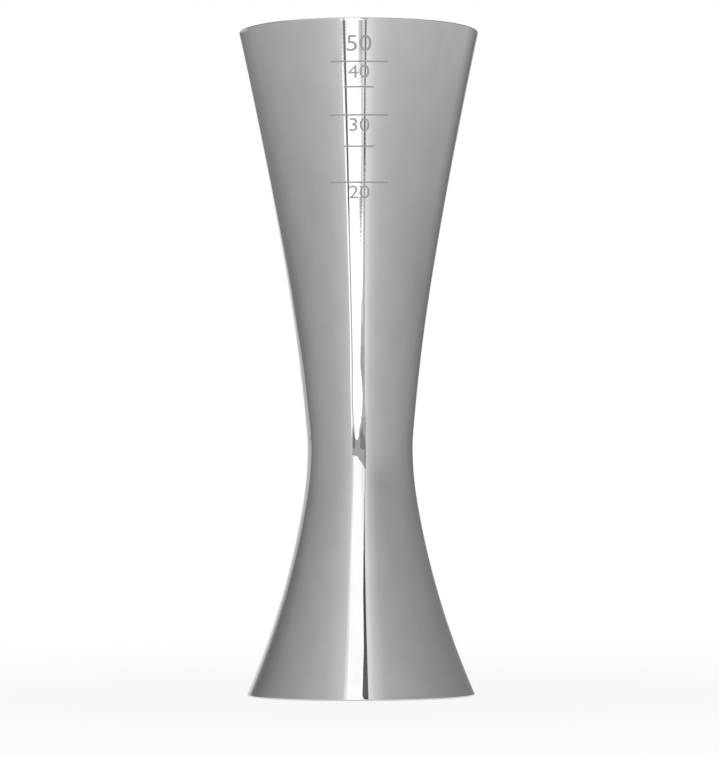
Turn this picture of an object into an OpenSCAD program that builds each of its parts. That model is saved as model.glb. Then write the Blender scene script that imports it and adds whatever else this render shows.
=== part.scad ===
// Double-ended bar jigger: two spun stainless steel cups, welded floor to floor at a slim waist.
// The large cup opens upwards and the small bell-shaped cup opens downwards and is the foot.
// The origin is the centre of the foot's rim plane, and +Z runs up the axis of the cups.

/* [Upper cup] */
// Height of the upper cup, from the joint between the floors to its rim
upper_h = 75.85; // [60:0.05:95]
// Diameter over the upper rim
upper_mouth_d = 43.8; // [36:0.1:54]
// Radius of the waist curve above the joint
upper_waist_r = 25.4; // [15:0.1:45]
// Lean of the wall where the waist curve ends, in degrees from upright
upper_waist_lean = 4.8; // [2:0.1:7]
// Radius of the long lower flank
upper_flank_r = 370; // [250:1:500]
// Lean of the wall where the lower flank ends and the last curve to the rim starts
upper_flank_lean = 9.7; // [8:0.1:11]

/* [Lower cup] */
// Height of the lower cup, from its rim to the joint between the floors
lower_h = 45.15; // [36:0.05:60]
// Diameter over the lower rim, which is the foot
lower_mouth_d = 41.7; // [34:0.1:52]
// Radius of the waist curve below the joint
lower_waist_r = 61; // [40:0.5:80]
// Lean of the wall where the waist curve ends and the bell's flare starts
lower_waist_lean = 9.3; // [6:0.1:12]

/* [Waist] */
// Diameter of the waist at its narrowest, at the joint
waist_d = 19.2; // [15:0.1:24]
// Height and depth of the bevel round each cup's bottom, which the weld fills
weld_leg = 1.2; // [0.6:0.1:1.5]

/* [Sheet] */
// Wall thickness of both cups
wall = 0.8; // [0.6:0.05:1.2]
// Thickness of each cup's floor
floor_t = 0.8; // [0.6:0.05:1.5]
// Radius inside, between floor and wall
floor_round = 1.5; // [1:0.1:3]
// Radius of the two edges of each lip
lip_round = 0.25; // [0.1:0.01:0.3]

/* [Hidden] */
// Height of the joint plane between the two floors
joint_z = lower_h;
waist_rad = waist_d / 2;
// How far a chord of an outline may fall short of its arc
chord_gap = 0.004;
// Step of the small rounds at lips and floors, in degrees
round_step = 15;
// Least amount by which the last curve of a wall bends, so that a straight one still has a radius
least_bend = 0.001;
$fn = 180;

// A wall is a chain of tangent arcs that starts upright at the waist. Heights are measured from the joint plane,
// towards the mouth. An arc is [centre radius, centre height, signed radius, start height, end height].
// It bends outwards where its radius is positive.

function outward(lean) = [cos(lean), -sin(lean)];

// The arc that starts at point p, leaning by lean, and bends on until it leans by end_lean
function arc_to_lean(p, lean, end_lean, radius) =
    let (c = p + radius * outward(lean))
    [c[0], c[1], radius, p[1], c[1] + radius * sin(end_lean)];

// The arc that starts at point p, leaning by lean, and passes through point q
function arc_to_point(p, lean, q) =
    let (d = q - p, bend = d * outward(lean),
         radius = d * d / (2 * (abs(bend) < least_bend ? least_bend : bend)),
         c = p + radius * outward(lean))
    [c[0], c[1], radius, p[1], q[1]];

// Lean of an arc at height z, and the point there, on its face (depth 0) or at a depth into the sheet
function arc_lean(arc, z, depth = 0) = asin((z - arc[1]) / (arc[2] + depth));
function arc_point(arc, z, depth = 0) =
    [arc[0] - (arc[2] + depth) * cos(arc_lean(arc, z, depth)), z];

function upper_wall() =
    let (waist = arc_to_lean([waist_rad, 0], 0, upper_waist_lean, upper_waist_r),
         flank = arc_to_lean(arc_point(waist, waist[4]), upper_waist_lean, upper_flank_lean, upper_flank_r),
         reach = arc_to_point(arc_point(flank, flank[4]), upper_flank_lean, [upper_mouth_d / 2, upper_h]))
    [waist, flank, reach];

function lower_wall() =
    let (waist = arc_to_lean([waist_rad, 0], 0, lower_waist_lean, lower_waist_r),
         flare = arc_to_point(arc_point(waist, waist[4]), lower_waist_lean, [lower_mouth_d / 2, lower_h]))
    [waist, flare];

// The arc that holds height z, at a depth into the sheet. Its ends lie a little higher there, as the wall leans.
function end_height(arc, depth) = arc[4] + depth * (arc[4] - arc[1]) / arc[2];
function arc_at(arcs, z, depth) =
    [for (arc = arcs) if (z <= end_height(arc, depth)) arc, arcs[len(arcs) - 1]][0];

// Points along the wall from height low to height high, at a depth into the sheet, without the last one
function wall_points(arcs, low, high, depth = 0) =
    [for (i = [0 : len(arcs) - 1])
        let (arc = arcs[i],
             from = max(low, i == 0 ? 0 : end_height(arcs[i - 1], depth)),
             to = min(high, i == len(arcs) - 1 ? high : end_height(arc, depth)),
             steps = ceil((to - from) / sqrt(8 * chord_gap * abs(arc[2]))))
        if (to > from) each [for (k = [0 : steps - 1]) arc_point(arc, from + (to - from) * k / steps, depth)]];

// Points of a small round about centre c, from one bearing to another
function round_points(c, radius, from, to) =
    let (steps = max(2, ceil(abs(to - from) / round_step)))
    [for (k = [0 : steps]) let (bearing = from + (to - from) * k / steps)
        c + radius * [cos(bearing), sin(bearing)]];

// One cup, mouth upwards, with the underside of its floor on the joint plane. The wall is cut square at the
// mouth and both edges of the lip are rounded.
module cup(arcs, mouth_rad, height) {
    mouth_lean = arc_lean(arcs[len(arcs) - 1], height);
    along = [sin(mouth_lean), cos(mouth_lean)];
    outer_corner = [mouth_rad, height];
    inner_corner = [mouth_rad - wall / cos(mouth_lean), height];
    outer_c = outer_corner - lip_round * outward(mouth_lean)
        - lip_round * (1 + sin(mouth_lean)) / cos(mouth_lean) * along;
    inner_c = inner_corner + lip_round * outward(mouth_lean)
        - lip_round * (1 - sin(mouth_lean)) / cos(mouth_lean) * along;
    outer_lip = round_points(outer_c, lip_round, -mouth_lean, 90);
    inner_lip = round_points(inner_c, lip_round, 90, 180 - mouth_lean);

    corner_z = floor_t + floor_round;
    corner_lean = arc_lean(arc_at(arcs, corner_z, wall), corner_z, wall);
    touch_z = corner_z - floor_round * sin(corner_lean);
    touch = arc_point(arc_at(arcs, touch_z, wall), touch_z, wall);
    floor_corner = round_points([touch[0] - floor_round * cos(corner_lean), corner_z], floor_round,
        -90, -corner_lean);

    outside = wall_points(arcs, weld_leg, outer_lip[0][1]);
    inside = wall_points(arcs, touch_z, inner_lip[len(inner_lip) - 1][1], wall);
    rotate_extrude()
        polygon(concat([[0, 0], [waist_rad - weld_leg, 0]], outside, outer_lip, inner_lip,
            [for (i = [len(inside) - 1 : -1 : 1]) inside[i]],
            [for (i = [len(floor_corner) - 1 : -1 : 0]) floor_corner[i]], [[0, floor_t]]));
}

module upper_cup() {
    color("lightgray")
        translate([0, 0, joint_z])
            cup(upper_wall(), upper_mouth_d / 2, upper_h);
}

module lower_cup() {
    color("silver")
        translate([0, 0, joint_z])
            mirror([0, 0, 1])
                cup(lower_wall(), lower_mouth_d / 2, lower_h);
}

// The weld fills the groove that the two bevelled bottoms leave, and its face carries the walls' curve on
module waist_weld() {
    above = wall_points(upper_wall(), 0, weld_leg);
    below = wall_points(lower_wall(), 0, weld_leg);
    top = arc_point(arc_at(upper_wall(), weld_leg, 0), weld_leg);
    bottom = arc_point(arc_at(lower_wall(), weld_leg, 0), weld_leg);
    color("darkgray")
        translate([0, 0, joint_z])
            rotate_extrude()
                polygon(concat([[waist_rad - weld_leg, 0], [bottom[0], -weld_leg]],
                    [for (i = [len(below) - 1 : -1 : 1]) [below[i][0], -below[i][1]]],
                    above, [top]));
}

upper_cup();
lower_cup();
waist_weld();
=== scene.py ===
import bmesh
import bpy
import math
from mathutils import Matrix, Vector


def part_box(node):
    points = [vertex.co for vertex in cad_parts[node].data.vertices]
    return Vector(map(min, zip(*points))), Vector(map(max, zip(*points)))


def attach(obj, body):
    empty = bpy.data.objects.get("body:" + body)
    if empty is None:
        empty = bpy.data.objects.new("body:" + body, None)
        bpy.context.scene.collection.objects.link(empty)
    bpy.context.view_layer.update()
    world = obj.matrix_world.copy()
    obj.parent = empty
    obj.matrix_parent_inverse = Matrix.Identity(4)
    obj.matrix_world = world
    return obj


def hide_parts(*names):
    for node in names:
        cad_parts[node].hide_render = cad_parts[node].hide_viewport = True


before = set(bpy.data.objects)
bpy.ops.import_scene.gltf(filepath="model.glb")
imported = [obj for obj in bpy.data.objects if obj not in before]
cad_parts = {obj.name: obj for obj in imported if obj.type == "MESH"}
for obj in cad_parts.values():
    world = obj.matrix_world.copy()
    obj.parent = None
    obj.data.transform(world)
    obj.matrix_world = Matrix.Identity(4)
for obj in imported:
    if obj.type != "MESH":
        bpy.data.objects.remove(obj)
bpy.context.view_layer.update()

MM = 0.001

# The cups' section, in millimetres and degrees. The heights come from the parts in model.glb, the rest is
# these.
WAIST_D = 19.2
UPPER_MOUTH_D = 43.8
UPPER_WAIST_R = 25.4
UPPER_WAIST_LEAN = 4.8
UPPER_FLANK_R = 370.0
UPPER_FLANK_LEAN = 9.7
LOWER_MOUTH_D = 41.7
LOWER_WAIST_R = 61.0
LOWER_WAIST_LEAN = 9.3
WALL = 0.8
FLOOR = 0.8
FLOOR_ROUND = 1.5
LIP_ROUND = 0.25
WELD_LEG = 1.2
JOINT_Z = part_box("upper_cup")[0].z / MM
RIM_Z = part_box("upper_cup")[1].z / MM
UPPER_H = RIM_Z - JOINT_Z
LOWER_H = JOINT_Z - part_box("lower_cup")[0].z / MM

# How finely the turned surfaces are cut: steps round the axis, degrees along a round, and millimetres along
# a wall, fine near the joint and coarse above
TURN_STEPS = 256
ROUND_STEP = 10.0
COARSE_STEP = 1.0
FINE_STEP = 0.25
FINE_REACH = 4.0
SEAM_STEP = 0.02
MERGE_REACH = 0.001
SHARP_ANGLE = math.radians(30)
# A face that lies deeper in the sheet than this is one of the inside
INSIDE_DEPTH = 0.9 * WALL

# Camera: places and lens in millimetres, angles in degrees
CAMERA_DISTANCE = 677.3
CAMERA_HEIGHT = 33.1
CAMERA_ASIDE = -0.06
CAMERA_LENS = 176.5
CAMERA_FILM = 36.0
CAMERA_TILT = 2.07
CAMERA_ROLL = -0.19


# ---- Section of a cup: heights run from the joint towards the mouth -----------------------------

def outward(lean):
    """Direction (radius, height) out of the face of a wall that leans by lean radians."""
    return Vector((math.cos(lean), -math.sin(lean)))


def arc_to_lean(start, lean, end_lean, radius):
    """The arc from start on until the wall leans by end_lean: centre, radius and the height of its end."""
    centre = start + radius * outward(lean)
    return centre, radius, centre.y + radius * math.sin(end_lean)


def arc_to_point(start, lean, end):
    """The tangent arc from start that passes through end."""
    chord = end - start
    radius = chord.length_squared / (2 * chord.dot(outward(lean)))
    return start + radius * outward(lean), radius, end.y


def wall_at(arcs, height, depth=0.0):
    """Radius and lean of the wall at a height, at a depth into the sheet."""
    for centre, radius, top in arcs:
        if height <= top + depth * (top - centre.y) / radius:
            break
    lean = math.asin((height - centre.y) / (radius + depth))
    return centre.x - (radius + depth) * math.cos(lean), lean


def upper_wall():
    """The upper cup's wall: waist curve, long flank and the reach to the rim."""
    waist = arc_to_lean(Vector((WAIST_D / 2, 0)), 0, math.radians(UPPER_WAIST_LEAN), UPPER_WAIST_R)
    knee = Vector((wall_at([waist], waist[2])[0], waist[2]))
    flank = arc_to_lean(knee, math.radians(UPPER_WAIST_LEAN), math.radians(UPPER_FLANK_LEAN), UPPER_FLANK_R)
    top = Vector((wall_at([flank], flank[2])[0], flank[2]))
    mouth = Vector((UPPER_MOUTH_D / 2, UPPER_H))
    return [waist, flank, arc_to_point(top, math.radians(UPPER_FLANK_LEAN), mouth)]


def lower_wall():
    """The lower cup's wall: waist curve and the bell's flare."""
    waist = arc_to_lean(Vector((WAIST_D / 2, 0)), 0, math.radians(LOWER_WAIST_LEAN), LOWER_WAIST_R)
    knee = Vector((wall_at([waist], waist[2])[0], waist[2]))
    mouth = Vector((LOWER_MOUTH_D / 2, LOWER_H))
    return [waist, arc_to_point(knee, math.radians(LOWER_WAIST_LEAN), mouth)]


def heights(low, high):
    """Heights from low to high, close together near the joint and widely spaced above."""
    found = [low, low + SEAM_STEP]
    while found[-1] < high:
        found.append(found[-1] + (FINE_STEP if found[-1] < FINE_REACH else COARSE_STEP))
    while high - found[-1] < SEAM_STEP:
        found.pop()
    return found + [high]


def wall_points(arcs, low, high, depth=0.0):
    """Points along the wall between two heights, at a depth into the sheet."""
    return [Vector((wall_at(arcs, z, depth)[0], z)) for z in heights(low, high)]


def round_points(centre, radius, start, end):
    """Points of a small round about centre, from one bearing to another, in degrees."""
    steps = math.ceil(abs(end - start) / ROUND_STEP)
    bearings = [math.radians(start + (end - start) * k / steps) for k in range(steps + 1)]
    return [centre + radius * Vector((math.cos(b), math.sin(b))) for b in bearings]


def lip_points(arcs, mouth_r, height):
    """The lip: its outer round, its flat land and its inner round."""
    lean = wall_at(arcs, height)[1]
    along = Vector((math.sin(lean), math.cos(lean)))
    outer = Vector((mouth_r, height)) - LIP_ROUND * outward(lean)
    outer -= LIP_ROUND * (1 + math.sin(lean)) / math.cos(lean) * along
    inner = Vector((mouth_r - WALL / math.cos(lean), height)) + LIP_ROUND * outward(lean)
    inner -= LIP_ROUND * (1 - math.sin(lean)) / math.cos(lean) * along
    turned = math.degrees(lean)
    return (round_points(outer, LIP_ROUND, -turned, 90)
            + round_points(inner, LIP_ROUND, 90, 180 - turned))


def floor_points(arcs):
    """The inside of the floor, from the wall round its corner to the middle."""
    corner_z = FLOOR + FLOOR_ROUND
    lean = wall_at(arcs, corner_z, WALL)[1]
    touch_z = corner_z - FLOOR_ROUND * math.sin(lean)
    touch_r = wall_at(arcs, touch_z, WALL)[0]
    centre = Vector((touch_r - FLOOR_ROUND * math.cos(lean), corner_z))
    return round_points(centre, FLOOR_ROUND, -math.degrees(lean), -90) + [Vector((0, FLOOR))]


def cup_section(arcs, mouth_r, height):
    """Outline of a cup's sheet, from the middle of its underside round the lip to its floor's middle."""
    lip = lip_points(arcs, mouth_r, height)
    floor = floor_points(arcs)
    outside = wall_points(arcs, WELD_LEG, lip[0].y)
    inside = wall_points(arcs, floor[0].y, lip[-1].y, WALL)
    bevel = [Vector((0, 0)), Vector((WAIST_D / 2 - WELD_LEG, 0))]
    return bevel + outside[:-1] + lip + inside[-2:0:-1] + floor


def weld_section():
    """Closed outline of the weld: the groove's root, and the walls' curve carried on across the joint."""
    above = wall_points(upper_wall(), 0, WELD_LEG)
    below = [Vector((p.x, -p.y)) for p in wall_points(lower_wall(), 0, WELD_LEG)]
    root = Vector((WAIST_D / 2 - WELD_LEG, 0))
    return [root] + below[:0:-1] + above


# ---- Turning and finishing the pieces -----------------------------------------------------------

def turned(name, outline, closed, flip=1):
    """A piece turned about Z from an outline of (radius, height) in millimetres from the joint."""
    bm = bmesh.new()
    verts = [bm.verts.new((p.x * MM, 0, (JOINT_Z + flip * p.y) * MM)) for p in outline]
    pairs = list(zip(verts, verts[1:]))
    if closed:
        pairs.append((verts[-1], verts[0]))
    edges = [bm.edges.new(pair) for pair in pairs]
    bmesh.ops.spin(bm, geom=verts + edges, cent=(0, 0, 0), axis=(0, 0, 1), angle=2 * math.pi,
                   steps=TURN_STEPS, use_merge=True)
    bmesh.ops.remove_doubles(bm, verts=bm.verts, dist=MERGE_REACH * MM)
    bmesh.ops.recalc_face_normals(bm, faces=bm.faces)
    return finished(name, bm)


def finished(name, bm):
    """Makes an object of a bmesh, smooth except across its sharp corners."""
    for face in bm.faces:
        face.smooth = True
    for edge in bm.edges:
        edge.smooth = edge.is_manifold and edge.calc_face_angle() < SHARP_ANGLE
    mesh = bpy.data.meshes.new(name)
    bm.to_mesh(mesh)
    bm.free()
    piece = bpy.data.objects.new(name, mesh)
    bpy.context.scene.collection.objects.link(piece)
    return piece


def finish_inside(piece, arcs, flip, inner_material):
    """Gives the inner faces of a cup the satin finish."""
    piece.data.materials.append(inner_material)
    for face in piece.data.polygons:
        centre = face.center
        height = flip * (centre.z / MM - JOINT_Z)
        radius = math.hypot(centre.x, centre.y) / MM
        if height > FLOOR / 2 and radius < wall_at(arcs, height, INSIDE_DEPTH)[0]:
            face.material_index = 1


# ---- Materials ----------------------------------------------------------------------------------

# Greys and roughnesses as (least, most). Cloud sizes and bump depths are in millimetres, and rings are
# counted per millimetre.
POLISH_GREY = (0.63, 0.67)
POLISH_ROUGH = (0.012, 0.028)
POLISH_CLOUD = 3.4
POLISH_CLOUD_STRETCH = 2.2
BUFFING_CLOUD = 4.0
BUFFING_STRETCH = 3.0
POLISH_RINGS = 1.5
POLISH_DEPTH = 0.0003
SATIN_GREY = (0.8, 0.9)
SATIN_ROUGH = (0.13, 0.19)
SATIN_RINGS = 2.4
SATIN_GLOSS_RINGS = 1.1
SATIN_DEPTH = 0.004
WELD_ROUGH = (0.014, 0.03)
WELD_RINGS = 3.0
ETCH_GREY = (0.4, 0.5)
ETCH_ROUGH = (0.5, 0.7)
ETCH_GRAIN = 0.08
ETCH_DEPTH = 0.01
SOFT_DETAIL = 2.0
FINE_DETAIL = 4.0
# The part of a noise's range that its values mostly fill
NOISE_SPAN = (0.3, 0.7)


def new_material(name):
    """A material with its shader as it comes."""
    material = bpy.data.materials.new(name)
    material.use_nodes = True
    nodes = material.node_tree.nodes
    return material, nodes, material.node_tree.links, nodes["Principled BSDF"]


def new_steel(name):
    """A metal material."""
    material, nodes, links, shader = new_material(name)
    shader.inputs["Metallic"].default_value = 1.0
    return material, nodes, links, shader


def math_node(nodes, links, operation, first, second=None):
    """A Math node; what it works on may be a number or another node's output."""
    node = nodes.new("ShaderNodeMath")
    node.operation = operation
    for socket, value in zip(node.inputs, (first, second)):
        if isinstance(value, (int, float)):
            socket.default_value = value
        elif value is not None:
            links.new(value, socket)
    return node.outputs[0]


def rise(nodes, links, source, start, end, low=0.0, high=1.0):
    """Rises from low to high while the source goes from start to end."""
    node = nodes.new("ShaderNodeMapRange")
    node.inputs["From Min"].default_value = start
    node.inputs["From Max"].default_value = end
    node.inputs["To Min"].default_value = low
    node.inputs["To Max"].default_value = high
    links.new(source, node.inputs["Value"])
    return node.outputs["Result"]


def ring_coordinate(nodes, links):
    """A number that grows along the section, up the walls and out across the floors, the same all round."""
    place = nodes.new("ShaderNodeTexCoord")
    split = nodes.new("ShaderNodeSeparateXYZ")
    flat = nodes.new("ShaderNodeCombineXYZ")
    length = nodes.new("ShaderNodeVectorMath")
    length.operation = "LENGTH"
    links.new(place.outputs["Object"], split.inputs[0])
    links.new(split.outputs["X"], flat.inputs["X"])
    links.new(split.outputs["Y"], flat.inputs["Y"])
    links.new(flat.outputs[0], length.inputs[0])
    return math_node(nodes, links, "ADD", length.outputs["Value"], split.outputs["Z"])


def ring_noise(nodes, links, rings_per_mm, detail):
    """Noise that changes only along the section, so that it lies in rings all round."""
    pitch = math_node(nodes, links, "MULTIPLY", ring_coordinate(nodes, links), rings_per_mm / MM)
    noise = nodes.new("ShaderNodeTexNoise")
    noise.noise_dimensions = "1D"
    noise.inputs["Scale"].default_value = 1.0
    noise.inputs["Detail"].default_value = detail
    links.new(pitch, noise.inputs["W"])
    return noise.outputs["Fac"]


def cloud_noise(nodes, links, size_mm, stretch, detail):
    """Soft clouds of about a size, drawn out along the axis."""
    place = nodes.new("ShaderNodeTexCoord")
    shrink = nodes.new("ShaderNodeMapping")
    across = 1 / (size_mm * MM)
    along = 1 / (size_mm * stretch * MM)
    shrink.inputs["Scale"].default_value = (across, across, along)
    noise = nodes.new("ShaderNodeTexNoise")
    noise.inputs["Scale"].default_value = 1.0
    noise.inputs["Detail"].default_value = detail
    links.new(place.outputs["Object"], shrink.inputs["Vector"])
    links.new(shrink.outputs[0], noise.inputs["Vector"])
    return noise.outputs["Fac"]


def dulled(nodes, links, source, rough, shader):
    """Varies the roughness between two values, as the noise goes."""
    links.new(rise(nodes, links, source, *NOISE_SPAN, *rough), shader.inputs["Roughness"])


def bumped(nodes, links, source, depth_mm, shader):
    """Raises and sinks the surface a little, as the noise goes."""
    bump = nodes.new("ShaderNodeBump")
    bump.inputs["Strength"].default_value = 1.0
    bump.inputs["Distance"].default_value = depth_mm * MM
    links.new(source, bump.inputs["Height"])
    links.new(bump.outputs[0], shader.inputs["Normal"])


def tinted(nodes, links, source, greys, shader):
    """Varies the grey of the steel between two values, as the noise goes."""
    grey = rise(nodes, links, source, *NOISE_SPAN, *greys)
    colour = nodes.new("ShaderNodeCombineColor")
    for channel in ("Red", "Green", "Blue"):
        links.new(grey, colour.inputs[channel])
    links.new(colour.outputs[0], shader.inputs["Base Color"])


def polished_steel():
    """Mirror-polished outside: the faint clouds and rings that the buffing wheel leaves."""
    material, nodes, links, shader = new_steel("polished_steel")
    clouds = cloud_noise(nodes, links, POLISH_CLOUD, POLISH_CLOUD_STRETCH, SOFT_DETAIL)
    buffing = cloud_noise(nodes, links, BUFFING_CLOUD, BUFFING_STRETCH, SOFT_DETAIL)
    tinted(nodes, links, clouds, POLISH_GREY, shader)
    dulled(nodes, links, buffing, POLISH_ROUGH, shader)
    bumped(nodes, links, ring_noise(nodes, links, POLISH_RINGS, SOFT_DETAIL), POLISH_DEPTH, shader)
    return material


def satin_steel():
    """Inside of the cups: fine turned rings, brighter and duller by turns."""
    material, nodes, links, shader = new_steel("satin_steel")
    rings = ring_noise(nodes, links, SATIN_RINGS, FINE_DETAIL)
    tinted(nodes, links, rings, SATIN_GREY, shader)
    dulled(nodes, links, ring_noise(nodes, links, SATIN_GLOSS_RINGS, SOFT_DETAIL), SATIN_ROUGH, shader)
    bumped(nodes, links, rings, SATIN_DEPTH, shader)
    return material


def weld_steel():
    """Weld metal, ground flush and polished with the cups."""
    material, nodes, links, shader = new_steel("weld_steel")
    clouds = cloud_noise(nodes, links, POLISH_CLOUD, POLISH_CLOUD_STRETCH, SOFT_DETAIL)
    tinted(nodes, links, clouds, POLISH_GREY, shader)
    dulled(nodes, links, ring_noise(nodes, links, WELD_RINGS, SOFT_DETAIL), WELD_ROUGH, shader)
    bumped(nodes, links, ring_noise(nodes, links, POLISH_RINGS, SOFT_DETAIL), POLISH_DEPTH, shader)
    return material


def etched_steel():
    """Frosted marks, etched into the polish."""
    material, nodes, links, shader = new_steel("etched_steel")
    grain = cloud_noise(nodes, links, ETCH_GRAIN, 1.0, SOFT_DETAIL)
    tinted(nodes, links, grain, ETCH_GREY, shader)
    dulled(nodes, links, grain, ETCH_ROUGH, shader)
    bumped(nodes, links, grain, ETCH_DEPTH, shader)
    return material


# ---- Camera, floor and light --------------------------------------------------------------------

def make_camera():
    """The camera stands low in front and looks a little upwards."""
    data = bpy.data.cameras.new("camera")
    data.lens = CAMERA_LENS
    data.sensor_width = CAMERA_FILM
    camera = bpy.data.objects.new("camera", data)
    place = Matrix.Translation((CAMERA_ASIDE * MM, -CAMERA_DISTANCE * MM, CAMERA_HEIGHT * MM))
    aim = Matrix.Rotation(math.radians(90 + CAMERA_TILT), 4, "X")
    roll = Matrix.Rotation(math.radians(CAMERA_ROLL), 4, "Z")
    camera.matrix_world = place @ aim @ roll
    bpy.context.scene.collection.objects.link(camera)
    bpy.context.scene.camera = camera
    bpy.context.scene.view_settings.view_transform = "Standard"


# Light on the studio's round wall, level with the jigger and higher up: (bearing in degrees, brightness).
# Bearing 0 is towards the camera, + to the right.
LOW_LIGHT = (
    (-180, 0.7), (-170, 0.36), (-163, 0.27), (-156, 0.25), (-150, 0.265), (-140, 0.25), (-130, 0.265),
    (-120, 0.325), (-110, 0.38), (-100, 0.425), (-90, 0.463), (-70, 0.518), (-50, 0.57), (-40, 0.62),
    (-30, 0.685), (-24, 0.73), (-18, 0.85), (0, 1.0), (12, 1.0), (16, 0.85), (20, 0.765), (30, 0.665),
    (40, 0.62), (55, 0.56), (75, 0.51), (95, 0.455), (120, 0.372), (135, 0.3), (150, 0.235),
    (160, 0.195), (169, 0.38), (180, 0.75),
)
HIGH_LIGHT = (
    (-180, 0.7), (-170, 0.5), (-163, 0.4), (-156, 0.3), (-150, 0.25), (-140, 0.205), (-130, 0.25),
    (-120, 0.305), (-110, 0.365), (-100, 0.405), (-90, 0.435), (-70, 0.49), (-50, 0.555), (-40, 0.61),
    (-30, 0.685), (-24, 0.75), (-18, 0.87), (0, 1.0), (12, 1.0), (16, 0.8), (20, 0.7), (30, 0.535),
    (40, 0.48), (55, 0.44), (75, 0.42), (95, 0.4), (120, 0.335), (135, 0.29), (150, 0.265), (160, 0.4),
    (169, 0.75), (180, 1.0),
)
# How far above level, in degrees, the one list ends and the other begins, and where the ceiling does
LOW_END = 2.0
HIGH_START = 12.0
CEILING_LIGHT = 1.15
CEILING_START = 48.0
CEILING_FULL = 56.0
# Bearing from which the polish sees the white backdrop too
BACKDROP_EDGE = 172.0
# A pale wall far behind on the left: a soft oval above a slanted edge. Bearings and heights are in degrees.
GLOW_LIGHT = 0.64
GLOW_BEARING = -147.0
GLOW_HALF_WIDTH = 12.8
GLOW_HALF_HEIGHT = 7.7
GLOW_SOFT = 0.22
GLOW_EDGE_LOW = -1.3
GLOW_EDGE_BEARING = -142.4
GLOW_EDGE_SLOPE = -0.207
GLOW_EDGE_SOFT = 0.25


def grey_colour(light):
    """An even grey of a brightness."""
    return (light, light, light, 1)


def light_ramp(nodes, links, along, table):
    """Brightnesses along a number from 0 to 1: (place, brightness)."""
    node = nodes.new("ShaderNodeValToRGB")
    stops = node.color_ramp.elements
    stops[0].position = 0.0
    stops[1].position = 1.0
    for place, light in table[1:-1]:
        stops.new(place)
    for stop, (place, light) in zip(stops, table):
        stop.color = grey_colour(light)
    links.new(along, node.inputs["Fac"])
    return node.outputs["Color"]


def wall_light(nodes, links, around, table):
    """The brightness of the walls all round."""
    return light_ramp(nodes, links, around, [((angle + 180) / 360, light) for angle, light in table])


def mixed_colour(nodes, links, share, first, second):
    """Mixes two colours, each a plain colour or another node's output."""
    node = nodes.new("ShaderNodeMix")
    node.data_type = "RGBA"
    links.new(share, node.inputs["Factor"])
    for socket, value in ((node.inputs[6], first), (node.inputs[7], second)):
        if isinstance(value, tuple):
            socket.default_value = value
        else:
            links.new(value, socket)
    return node.outputs[2]


def rear_glow(nodes, links, turn, climb):
    """How much of a direction's light is the pale wall's."""
    aside = math_node(nodes, links, "SUBTRACT", turn, GLOW_BEARING)
    across = math_node(nodes, links, "DIVIDE", aside, GLOW_HALF_WIDTH)
    up = math_node(nodes, links, "DIVIDE", climb, GLOW_HALF_HEIGHT)
    across_squared = math_node(nodes, links, "MULTIPLY", across, across)
    up_squared = math_node(nodes, links, "MULTIPLY", up, up)
    off = math_node(nodes, links, "SQRT", math_node(nodes, links, "ADD", across_squared, up_squared))
    oval = rise(nodes, links, off, 1 + GLOW_SOFT, 1 - GLOW_SOFT)
    past = math_node(nodes, links, "SUBTRACT", turn, GLOW_EDGE_BEARING)
    slant = math_node(nodes, links, "MULTIPLY", past, GLOW_EDGE_SLOPE)
    edge = math_node(nodes, links, "MAXIMUM", slant, GLOW_EDGE_LOW)
    above = rise(nodes, links, math_node(nodes, links, "SUBTRACT", climb, edge), 0.0, GLOW_EDGE_SOFT)
    return math_node(nodes, links, "MULTIPLY", oval, above)


def make_world():
    """Graded walls round the table, brightest towards the camera, a bright ceiling and a white backdrop."""
    world = bpy.data.worlds.new("studio")
    world.use_nodes = True
    bpy.context.scene.world = world
    nodes = world.node_tree.nodes
    links = world.node_tree.links
    place = nodes.new("ShaderNodeTexCoord")
    split = nodes.new("ShaderNodeSeparateXYZ")
    links.new(place.outputs["Generated"], split.inputs[0])
    towards = math_node(nodes, links, "MULTIPLY", split.outputs["Y"], -1.0)
    bearing = math_node(nodes, links, "ARCTAN2", split.outputs["X"], towards)
    around = rise(nodes, links, bearing, -math.pi, math.pi)
    climb = math_node(nodes, links, "DEGREES", math_node(nodes, links, "ARCSINE", split.outputs["Z"]))
    low = wall_light(nodes, links, around, LOW_LIGHT)
    high = wall_light(nodes, links, around, HIGH_LIGHT)
    wall = mixed_colour(nodes, links, rise(nodes, links, climb, LOW_END, HIGH_START), low, high)
    turn = math_node(nodes, links, "DEGREES", bearing)
    glow = rear_glow(nodes, links, turn, climb)
    wall = mixed_colour(nodes, links, glow, wall, grey_colour(GLOW_LIGHT))
    ceiling = rise(nodes, links, climb, CEILING_START, CEILING_FULL)
    room = mixed_colour(nodes, links, ceiling, wall, grey_colour(CEILING_LIGHT))
    path = nodes.new("ShaderNodeLightPath")
    away = math_node(nodes, links, "ABSOLUTE", turn)
    behind = rise(nodes, links, away, BACKDROP_EDGE, 180.0)
    mirrored = math_node(nodes, links, "MULTIPLY", path.outputs["Is Glossy Ray"], behind)
    seen = math_node(nodes, links, "ADD", path.outputs["Is Camera Ray"], path.outputs["Is Transmission Ray"])
    backdrop = math_node(nodes, links, "ADD", seen, mirrored)
    studio = nodes["Background"]
    white = nodes.new("ShaderNodeBackground")
    white.inputs["Color"].default_value = grey_colour(1)
    pick = nodes.new("ShaderNodeMixShader")
    links.new(room, studio.inputs["Color"])
    links.new(backdrop, pick.inputs[0])
    links.new(studio.outputs[0], pick.inputs[1])
    links.new(white.outputs[0], pick.inputs[2])
    links.new(pick.outputs[0], nodes["World Output"].inputs["Surface"])


def new_glow(name):
    """A material with no more than an even glow, to be mixed with something else."""
    material = bpy.data.materials.new(name)
    material.use_nodes = True
    nodes = material.node_tree.nodes
    nodes.clear()
    return material, nodes, material.node_tree.links, nodes.new("ShaderNodeEmission")


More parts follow.
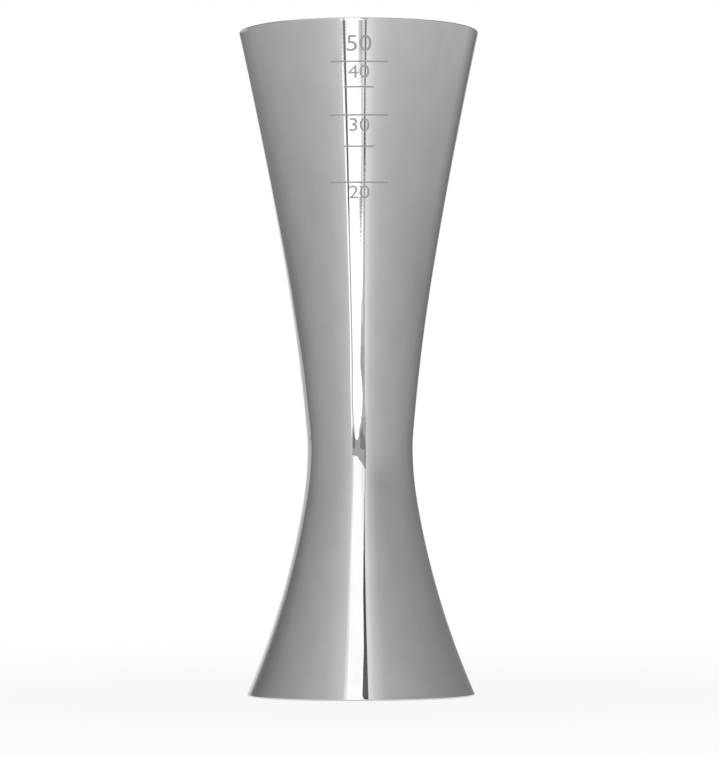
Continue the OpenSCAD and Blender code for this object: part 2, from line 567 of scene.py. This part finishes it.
def shown_mixed(nodes, links, share, first, second):
    """The surface is a mix of two shaders."""
    pick = nodes.new("ShaderNodeMixShader")
    out = nodes.new("ShaderNodeOutputMaterial")
    links.new(share, pick.inputs[0])
    links.new(first.outputs[0], pick.inputs[1])
    links.new(second.outputs[0], pick.inputs[2])
    links.new(pick.outputs[0], out.inputs["Surface"])


def card_material(light):
    """A card that glows evenly, and is white like the backdrop where the camera sees it directly."""
    material, nodes, links, glow = new_glow("card")
    glow.inputs["Color"].default_value = grey_colour(light)
    white = nodes.new("ShaderNodeEmission")
    path = nodes.new("ShaderNodeLightPath")
    shown_mixed(nodes, links, path.outputs["Is Camera Ray"], glow, white)
    return material


# The window between two curtains on the camera's side, and the table's edge across it. Each card stands
# some metres in front, a little nearer than the one before:
# (name, brightness, corners as metres across and up)
FAR_CARDS = (
    ("window_low", 1.8, ((-1.16, -1.41), (-1.15, -1.37), (-1.2, -1.34), (-1.19, -1.27), (-1.18, -1.15),
        (-1.15, -0.95), (-1.24, -0.84), (-1.24, -0.79), (-1.12, -0.75), (-1.08, -0.73), (-0.975, -0.71),
        (-0.956, -0.63), (-0.846, -0.42), (-0.657, -0.32), (-0.463, -0.32), (-0.297, -0.47),
        (-0.192, -0.63), (-0.087, -0.7), (0.027, -0.71), (0.115, -0.72), (0.176, -0.73), (0.282, -0.74),
        (0.379, -0.77), (0.494, -0.82), (0.283, -0.88), (0.107, -0.91), (0.08, -0.93), (0.124, -0.97),
        (0.169, -1.07), (0.257, -1.13), (0.409, -1.17), (0.481, -1.23), (0.481, -1.32), (0.49, -1.39))),
    ("curtain_low", 1.08, ((0.152, -1.39), (0.152, -1.37), (0.196, -1.35), (0.178, -1.34),
        (0.232, -1.32), (0.303, -1.32), (0.508, -1.32), (0.508, -1.39))),
    ("fold_upper", 0.72, ((-0.017, -1.39), (-0.008, -1.37), (0.045, -1.37), (0.347, -1.37),
        (0.356, -1.39))),
    ("fold_line", 0.8, ((-0.079, -1.37), (-0.079, -1.36), (-0.008, -1.36), (-0.008, -1.37))),
    ("fold_core", 0.42, ((0.178, -1.39), (0.17, -1.37), (0.258, -1.37), (0.285, -1.39))),
    ("fold_trail", 0.85, ((0.196, -1.37), (0.205, -1.36), (0.312, -1.36), (0.312, -1.37))),
    ("knot", 0.6, ((0.036, -1.32), (-0.008, -1.31), (0.143, -1.3), (0.321, -1.31), (0.339, -1.32))),
    ("knot_core", 0.4, ((0.179, -1.32), (0.17, -1.31), (0.258, -1.31), (0.276, -1.32))),
    ("left_edge", 1.6, ((-1.58, -1.41), (-1.57, -1.05), (-1.67, -0.89), (-1.68, -0.79), (-1.62, -0.72),
        (-1.56, -0.53), (-1.36, -0.52), (-1.36, -0.77), (-1.44, -0.8), (-1.42, -0.88), (-1.36, -0.96),
        (-1.37, -1.4))),
    ("left_seam", 0.14, ((-1.4, -1.42), (-1.37, -1.41), (-1.37, -1.34), (-1.21, -1.33), (-1.2, -1.34),
        (-1.17, -1.37), (-1.14, -1.41))),
    ("left_seam_low", 0.6, ((-1.37, -1.34), (-1.36, -1), (-1.39, -0.9), (-1.47, -0.84), (-1.47, -0.78),
        (-1.36, -0.76), (-1.36, -0.71), (-1.09, -0.71), (-1.15, -0.74), (-1.29, -0.79), (-1.29, -0.84),
        (-1.21, -0.89), (-1.17, -0.95), (-1.15, -1.07), (-1.21, -1.19), (-1.23, -1.33))),
    ("right_seam", 0.17, ((0.517, -1.39), (0.517, -1.35), (0.49, -1.34), (0.49, -1.32), (0.734, -1.33),
        (0.706, -1.34), (0.625, -1.35), (0.634, -1.36), (0.679, -1.37), (0.679, -1.39))),
    ("right_edge", 1.06, ((0.679, -1.39), (0.679, -1.36), (0.634, -1.36), (0.625, -1.35), (0.715, -1.34),
        (0.734, -1.33), (0.742, -1.26), (0.776, -1.14), (0.81, -1.02), (0.862, -0.9), (0.915, -0.83),
        (1.01, -0.78), (1.12, -0.75), (1.15, -0.79), (1.07, -0.87), (1.04, -1.03), (0.969, -1.27),
        (0.934, -1.34), (0.897, -1.36), (0.897, -1.4))),
    ("right_hem", 0.66, ((0.526, -1.32), (0.499, -1.27), (0.481, -1.23), (0.409, -1.17), (0.257, -1.13),
        (0.169, -1.07), (0.124, -0.97), (0.08, -0.93), (0.107, -0.91), (0.283, -0.88), (0.494, -0.82),
        (0.388, -0.76), (0.291, -0.74), (0.291, -0.73), (1.12, -0.73), (1.01, -0.78), (0.906, -0.83),
        (0.853, -0.9), (0.801, -1.02), (0.767, -1.14), (0.732, -1.26), (0.706, -1.33))),
    ("hem_shade", 0.56, ((0.089, -0.93), (0.115, -0.91), (0.3, -0.88), (0.495, -0.84), (0.745, -0.86),
        (0.764, -0.94), (0.665, -0.99), (0.142, -0.98))),
    ("hem_light", 0.92, ((0.177, -1.05), (0.505, -1.05), (0.524, -1.13), (0.516, -1.2), (0.463, -1.22),
        (0.4, -1.17), (0.257, -1.13))),
    ("gap", 0.55, ((-1.5, -0.72), (-1.08, -0.72), (-0.966, -0.7), (-0.9, -0.48), (-0.755, -0.34),
        (-0.472, -0.34), (-0.279, -0.51), (-0.166, -0.69), (-0.052, -0.7), (0.045, -0.71),
        (0.141, -0.72), (0.273, -0.74), (1.14, -0.74), (1.15, 0.17), (1.12, 0.8), (0.841, 0.77),
        (0.706, 0.72), (0.572, 0.67), (0.44, 0.63), (0.307, 0.58), (0.088, 0.55), (-0.218, 0.49),
        (-0.437, 0.42), (-1.49, 0.39))),
    ("gap_left", 0.28, ((-1.37, -0.68), (-1.12, -0.71), (-0.946, -0.52), (-0.916, -0.01), (-1.01, 0.2),
        (-1.38, 0.18))),
    ("gap_right", 0.31, ((-0.034, -0.63), (0.141, -0.69), (0.493, -0.7), (0.76, -0.63), (0.91, -0.32),
        (0.99, 0.14), (0.864, 0.21), (0.57, 0.23), (0.28, 0.22), (0.018, 0.17), (0.071, -0.24))),
    ("gap_end", 0.38, ((0.81, 0.14), (1.1, -0.01), (1.08, 0.68), (0.795, 0.68), (0.739, 0.36))),
    ("window_high", 1.5, ((-1.23, 0.4), (-0.437, 0.42), (-0.218, 0.5), (0.088, 0.56), (0.307, 0.59),
        (0.44, 0.64), (0.572, 0.68), (0.706, 0.73), (0.833, 0.79), (0.772, 0.97), (0.732, 1.29),
        (0.666, 1.63), (0.652, 1.84), (0.618, 1.98), (0.585, 2.11), (0.542, 2.26), (0.489, 2.4),
        (0.446, 2.55), (0.402, 2.7), (0.349, 2.86), (0.355, 3.75), (0.309, 3.95), (0.252, 4.16),
        (0.215, 4.38), (0.156, 4.61), (0.129, 5.11), (-1.56, 5.27), (-1.45, 4.27), (-1.44, 3.65),
        (-1.46, 2.94), (-1.42, 2.31), (-1.34, 1.88), (-1.23, 1.31))),
    ("window_dim", 1.28, ((0.132, 0.59), (0.307, 0.61), (0.44, 0.65), (0.572, 0.69), (0.706, 0.74),
        (0.824, 0.79), (0.763, 0.97), (0.723, 1.29), (0.657, 1.63), (0.643, 1.84), (0.609, 1.98),
        (0.576, 2.11), (0.542, 2.26), (0.422, 2.25), (0.308, 1.9), (0.214, 1.28))),
    ("curtain_high", 1.12, ((-1.21, 0.41), (-1.22, 1.31), (-1.33, 1.87), (-1.41, 2.31), (-1.45, 2.94),
        (-1.43, 3.65), (-1.44, 4.27), (-1.55, 5.26), (-1.85, 5.33), (-1.72, 4.31), (-1.71, 3.69),
        (-1.73, 2.97), (-1.68, 2.33), (-1.56, 1.89), (-1.45, 1.32), (-1.43, 0.4))),
    ("wedge", 0.02, ((0.95, 0.81), (0.886, 1.3), (0.739, 1.63), (0.67, 1.84), (0.628, 1.98),
        (0.566, 2.11), (0.505, 2.26), (0.443, 2.4), (0.418, 2.55), (0.393, 2.7), (0.358, 2.86),
        (0.355, 3.75), (0.309, 3.95), (0.252, 4.16), (0.215, 4.38), (0.156, 4.61), (0.137, 4.79),
        (0.788, 4.83), (0.758, 4.41), (0.701, 3.21), (0.68, 2.56), (0.685, 2.41), (0.699, 2.26),
        (0.723, 2.12), (0.738, 1.98), (0.762, 1.84), (0.812, 1.64), (0.923, 1.3), (0.987, 0.81))),
)
CARD_DISTANCE = 5.0
CARD_GAP = 0.005


def staged(name, bm, material):
    """Makes an object of a bmesh that belongs to the studio."""
    mesh = bpy.data.meshes.new(name)
    bm.to_mesh(mesh)
    bm.free()
    mesh.materials.append(material)
    thing = bpy.data.objects.new(name, mesh)
    bpy.context.scene.collection.objects.link(thing)


def make_card(name, corners, material):
    """A flat or gently bent card between its corners."""
    bm = bmesh.new()
    bm.faces.new([bm.verts.new(corner) for corner in corners])
    staged(name, bm, material)


def make_far_cards():
    """Every card of the window, one in front of the other."""
    for number, (name, light, corners) in enumerate(FAR_CARDS):
        away = CARD_DISTANCE - CARD_GAP * number
        make_card(name, [(x, -away, z) for x, z in corners], card_material(light))


# A low screen behind the jigger on the left: corners as (bearing in degrees, height in mm)
SCREEN = (
    (-133.3, 22), (-134.6, 24.5), (-136.1, 28), (-137.6, 33.5), (-140, 39.3), (-142.5, 44),
    (-145.9, 52), (-149.3, 65), (-152.7, 77), (-155.6, 92), (-158.5, 108), (-161.9, 125),
    (-164.3, 141), (-165.6, 155), (-167, 169), (-168, 179), (-180, 195), (-180, 0), (-133.3, 0),
)
SCREEN_R = 600.0
# It brightens from its left part, at the first place across, to its middle, at the second
SCREEN_DARK = 0.6
SCREEN_BRIGHT = 1.1
SCREEN_DARK_X = -280.0
SCREEN_BRIGHT_X = -20.0


def screen_material():
    """Brighter towards the middle, and clear to the camera."""
    material, nodes, links, glow = new_glow("screen")
    place = nodes.new("ShaderNodeTexCoord")
    split = nodes.new("ShaderNodeSeparateXYZ")
    clear = nodes.new("ShaderNodeBsdfTransparent")
    path = nodes.new("ShaderNodeLightPath")
    links.new(place.outputs["Object"], split.inputs[0])
    light = rise(nodes, links, split.outputs["X"], SCREEN_DARK_X * MM, SCREEN_BRIGHT_X * MM,
                 SCREEN_DARK, SCREEN_BRIGHT)
    links.new(light, glow.inputs["Strength"])
    shown_mixed(nodes, links, path.outputs["Is Camera Ray"], glow, clear)
    return material


def make_screen():
    """The screen, bent round the jigger."""
    corners = []
    for bearing, height in SCREEN:
        turn = math.radians(bearing)
        corners.append(Vector((SCREEN_R * math.sin(turn), -SCREEN_R * math.cos(turn), height)) * MM)
    make_card("screen", corners, screen_material())


# A soft glow round the rim's height, seen only in the polish. It thickens from its low edge to its high one,
# fades out towards the back and is thinner on the left. Places are in millimetres.
VEIL_R = 120.0
VEIL_LOW = 62.0
VEIL_HIGH = 140.0
VEIL_LIGHT = 1.5
VEIL_BACK = 100.0
VEIL_FRONT = 60.0
VEIL_LEFT = 0.75
VEIL_RIGHT = 1.2
VEIL_SHARE = ((0.0, 0.0), (0.2, 0.045), (0.5, 0.12), (0.75, 0.21), (1.0, 0.3))
RING_SEGMENTS = 96


def veil_material():
    """A thin glow that only the polish mirrors."""
    material, nodes, links, glow = new_glow("veil")
    glow.inputs["Strength"].default_value = VEIL_LIGHT
    place = nodes.new("ShaderNodeTexCoord")
    split = nodes.new("ShaderNodeSeparateXYZ")
    clear = nodes.new("ShaderNodeBsdfTransparent")
    path = nodes.new("ShaderNodeLightPath")
    links.new(place.outputs["Object"], split.inputs[0])
    up = rise(nodes, links, split.outputs["Z"], VEIL_LOW * MM, VEIL_HIGH * MM)
    ahead = rise(nodes, links, split.outputs["Y"], VEIL_BACK * MM, VEIL_FRONT * MM)
    across = rise(nodes, links, split.outputs["X"], -VEIL_R * MM, VEIL_R * MM, VEIL_LEFT, VEIL_RIGHT)
    share = math_node(nodes, links, "MULTIPLY", light_ramp(nodes, links, up, VEIL_SHARE), ahead)
    share = math_node(nodes, links, "MULTIPLY", share, across)
    share = math_node(nodes, links, "MULTIPLY", share, path.outputs["Is Glossy Ray"])
    shown_mixed(nodes, links, share, clear, glow)
    return material


def make_veil():
    """The veil, a ring round the upper cup."""
    bm = bmesh.new()
    bmesh.ops.create_cone(bm, cap_ends=False, segments=RING_SEGMENTS, radius1=VEIL_R * MM,
                          radius2=VEIL_R * MM, depth=(VEIL_HIGH - VEIL_LOW) * MM)
    bmesh.ops.translate(bm, verts=bm.verts, vec=(0, 0, (VEIL_HIGH + VEIL_LOW) / 2 * MM))
    staged("veil", bm, veil_material())


# The white table: its size, where it blends into the backdrop's white, and where the polish stops seeing it,
# in millimetres
TABLE_R = 280.0
TABLE_WHITE = 0.95
TABLE_ROUGH = 0.9
BLEND_START = 60.0
BLEND_LEAST = 0.8
MIRRORED_R = 140.0
MIRRORED_END = 250.0


def table_material():
    """White, whiter still towards its edge. It is clear from below, and its edge is clear to the polish."""
    material, nodes, links, shader = new_material("white_table")
    shader.inputs["Base Color"].default_value = grey_colour(TABLE_WHITE)
    shader.inputs["Roughness"].default_value = TABLE_ROUGH
    shader.inputs["Specular IOR Level"].default_value = 0.0
    white = nodes.new("ShaderNodeEmission")
    path = nodes.new("ShaderNodeLightPath")
    place = nodes.new("ShaderNodeTexCoord")
    reach = nodes.new("ShaderNodeVectorMath")
    reach.operation = "LENGTH"
    side = nodes.new("ShaderNodeNewGeometry")
    clear = nodes.new("ShaderNodeBsdfTransparent")
    lit = nodes.new("ShaderNodeMixShader")
    both = nodes.new("ShaderNodeMixShader")
    links.new(place.outputs["Object"], reach.inputs[0])
    away = reach.outputs["Value"]
    seen = math_node(nodes, links, "ADD", path.outputs["Is Camera Ray"], path.outputs["Is Glossy Ray"])
    seen = math_node(nodes, links, "ADD", seen, path.outputs["Is Transmission Ray"])
    share = rise(nodes, links, away, BLEND_START * MM, TABLE_R * MM, BLEND_LEAST, 1.0)
    links.new(math_node(nodes, links, "MULTIPLY", seen, share), lit.inputs[0])
    links.new(shader.outputs[0], lit.inputs[1])
    links.new(white.outputs[0], lit.inputs[2])
    far = rise(nodes, links, away, MIRRORED_R * MM, MIRRORED_END * MM)
    hidden = math_node(nodes, links, "MULTIPLY", far, path.outputs["Is Glossy Ray"])
    hidden = math_node(nodes, links, "MAXIMUM", hidden, side.outputs["Backfacing"])
    links.new(hidden, both.inputs[0])
    links.new(lit.outputs[0], both.inputs[1])
    links.new(clear.outputs[0], both.inputs[2])
    links.new(both.outputs[0], nodes["Material Output"].inputs["Surface"])
    return material


def make_floor():
    """The round table that the jigger stands on."""
    bm = bmesh.new()
    bmesh.ops.create_circle(bm, cap_ends=True, segments=RING_SEGMENTS, radius=TABLE_R * MM)
    staged("floor", bm, table_material())


# ---- The pieces ---------------------------------------------------------------------------------

def make_upper_cup(outer_material, inner_material):
    """The larger cup, mouth upwards."""
    arcs = upper_wall()
    cup = turned("upper_cup_shell", cup_section(arcs, UPPER_MOUTH_D / 2, UPPER_H), closed=False)
    cup.data.materials.append(outer_material)
    finish_inside(cup, arcs, 1, inner_material)
    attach(cup, "root")
    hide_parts("upper_cup")


def make_lower_cup(outer_material, inner_material):
    """The bell-shaped cup, mouth downwards."""
    arcs = lower_wall()
    cup = turned("lower_cup_shell", cup_section(arcs, LOWER_MOUTH_D / 2, LOWER_H), closed=False, flip=-1)
    cup.data.materials.append(outer_material)
    finish_inside(cup, arcs, -1, inner_material)
    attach(cup, "root")
    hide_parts("lower_cup")


def make_weld(material):
    """The ring of weld metal between the two floors' bevels."""
    weld = turned("waist_weld_bead", weld_section(), closed=True)
    weld.data.materials.append(material)
    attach(weld, "root")
    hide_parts("waist_weld")


# ---- The etched scale ---------------------------------------------------------------------------

# How far the marks stand out of the face and reach into it, and how finely they are sliced to bend round it
MARK_PROUD = 0.01
MARK_SINK = 0.02
MARK_THICK = MARK_PROUD + MARK_SINK
MARK_SLICE = 0.4
MARK_MERGE = 0.0005
# Sizes of the numbers and lines, and how far a number's middle lies under its line or under the brim
BRIM_NUMBER_SIZE = 4.0
BRIM_NUMBER_DROP = 4.7
NUMBER_SIZE = 3.3
NUMBER_DROP = 1.85
NUMBER_WIDEN = 1.2
LINE_REACH = 5.2
LINE_WIDTH = 0.28
HALF_LINE_REACH = 2.7
BRIM_ML = 50
NUMBERED_ML = (40, 30, 20)
HALF_ML = (35, 25)
LEVEL_STEP = 0.02
CUBIC_MM_PER_ML = 1000


def filled_levels(wanted):
    """Height above the joint at which the upper cup holds each number of millilitres."""
    arcs = upper_wall()
    corner = floor_points(arcs)
    levels = {}
    held = 0.0
    z = FLOOR
    while z < UPPER_H and len(levels) < len(wanted):
        if z < corner[0].y:
            radius = [p.x for p in corner if p.y >= z][-1]
        else:
            radius = wall_at(arcs, z, WALL)[0]
        held += math.pi * radius * radius * LEVEL_STEP / CUBIC_MM_PER_ML
        for amount in wanted:
            if held >= amount and amount not in levels:
                levels[amount] = z
        z += LEVEL_STEP
    return levels


def flat_number(text, size):
    """The number as a flat solid lying in X and Y, centred, in millimetres."""
    curve = bpy.data.curves.new("number", "FONT")
    curve.body = text
    curve.size = size
    curve.align_x = "CENTER"
    curve.align_y = "CENTER"
    curve.extrude = MARK_THICK / 2
    figures = bpy.data.objects.new("number", curve)
    bpy.context.scene.collection.objects.link(figures)
    built = figures.evaluated_get(bpy.context.evaluated_depsgraph_get())
    solid = bpy.data.meshes.new_from_object(built)
    bpy.data.objects.remove(figures)
    bm = bmesh.new()
    bm.from_mesh(solid)
    bpy.data.meshes.remove(solid)
    bmesh.ops.remove_doubles(bm, verts=bm.verts, dist=MARK_MERGE)
    bmesh.ops.scale(bm, verts=bm.verts, vec=(NUMBER_WIDEN, 1, 1))
    return bm


def flat_line(reach, width):
    """A line as a flat solid lying in X and Y, centred, that reaches as far to both sides."""
    bm = bmesh.new()
    bmesh.ops.create_cube(bm, size=1)
    bmesh.ops.scale(bm, verts=bm.verts, vec=(2 * reach, width, MARK_THICK))
    return bm


def wrapped(bm, height):
    """Slices a flat solid upright and lays it on the front of the upper cup, centred at a height."""
    left = min(v.co.x for v in bm.verts)
    right = max(v.co.x for v in bm.verts)
    for k in range(1, math.ceil((right - left) / MARK_SLICE)):
        geom = bm.verts[:] + bm.edges[:] + bm.faces[:]
        bmesh.ops.bisect_plane(bm, geom=geom, plane_co=(left + k * MARK_SLICE, 0, 0), plane_no=(1, 0, 0))
    arcs = upper_wall()
    for vert in bm.verts:
        z = height + vert.co.y
        radius, lean = wall_at(arcs, z)
        face = Vector((radius, z)) + (vert.co.z + (MARK_PROUD - MARK_SINK) / 2) * outward(lean)
        turn = vert.co.x / radius
        vert.co = Vector((face.x * math.sin(turn), -face.x * math.cos(turn), JOINT_Z + face.y)) * MM
    return bm


def joined(name, parts, material):
    """One piece of several wrapped solids."""
    whole = bmesh.new()
    for part in parts:
        mesh = bpy.data.meshes.new("part")
        part.to_mesh(mesh)
        part.free()
        whole.from_mesh(mesh)
        bpy.data.meshes.remove(mesh)
    bmesh.ops.recalc_face_normals(whole, faces=whole.faces)
    piece = finished(name, whole)
    piece.data.materials.append(material)
    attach(piece, "root")


def make_scale(material):
    """Capacity numbers down the front of the upper cup, each under its line, and short lines between."""
    levels = filled_levels(NUMBERED_ML + HALF_ML)
    numbers = [wrapped(flat_number(str(BRIM_ML), BRIM_NUMBER_SIZE), UPPER_H - BRIM_NUMBER_DROP)]
    lines = []
    for amount in NUMBERED_ML:
        numbers.append(wrapped(flat_number(str(amount), NUMBER_SIZE), levels[amount] - NUMBER_DROP))
        lines.append(wrapped(flat_line(LINE_REACH, LINE_WIDTH), levels[amount]))
    for amount in HALF_ML:
        lines.append(wrapped(flat_line(HALF_LINE_REACH, LINE_WIDTH), levels[amount]))
    joined("capacity_numbers", numbers, material)
    joined("capacity_lines", lines, material)


make_camera()
make_world()
make_floor()
make_far_cards()
make_screen()
make_veil()

outer = polished_steel()
inner = satin_steel()
make_upper_cup(outer, inner)
make_lower_cup(outer, inner)
make_weld(weld_steel())
make_scale(etched_steel())
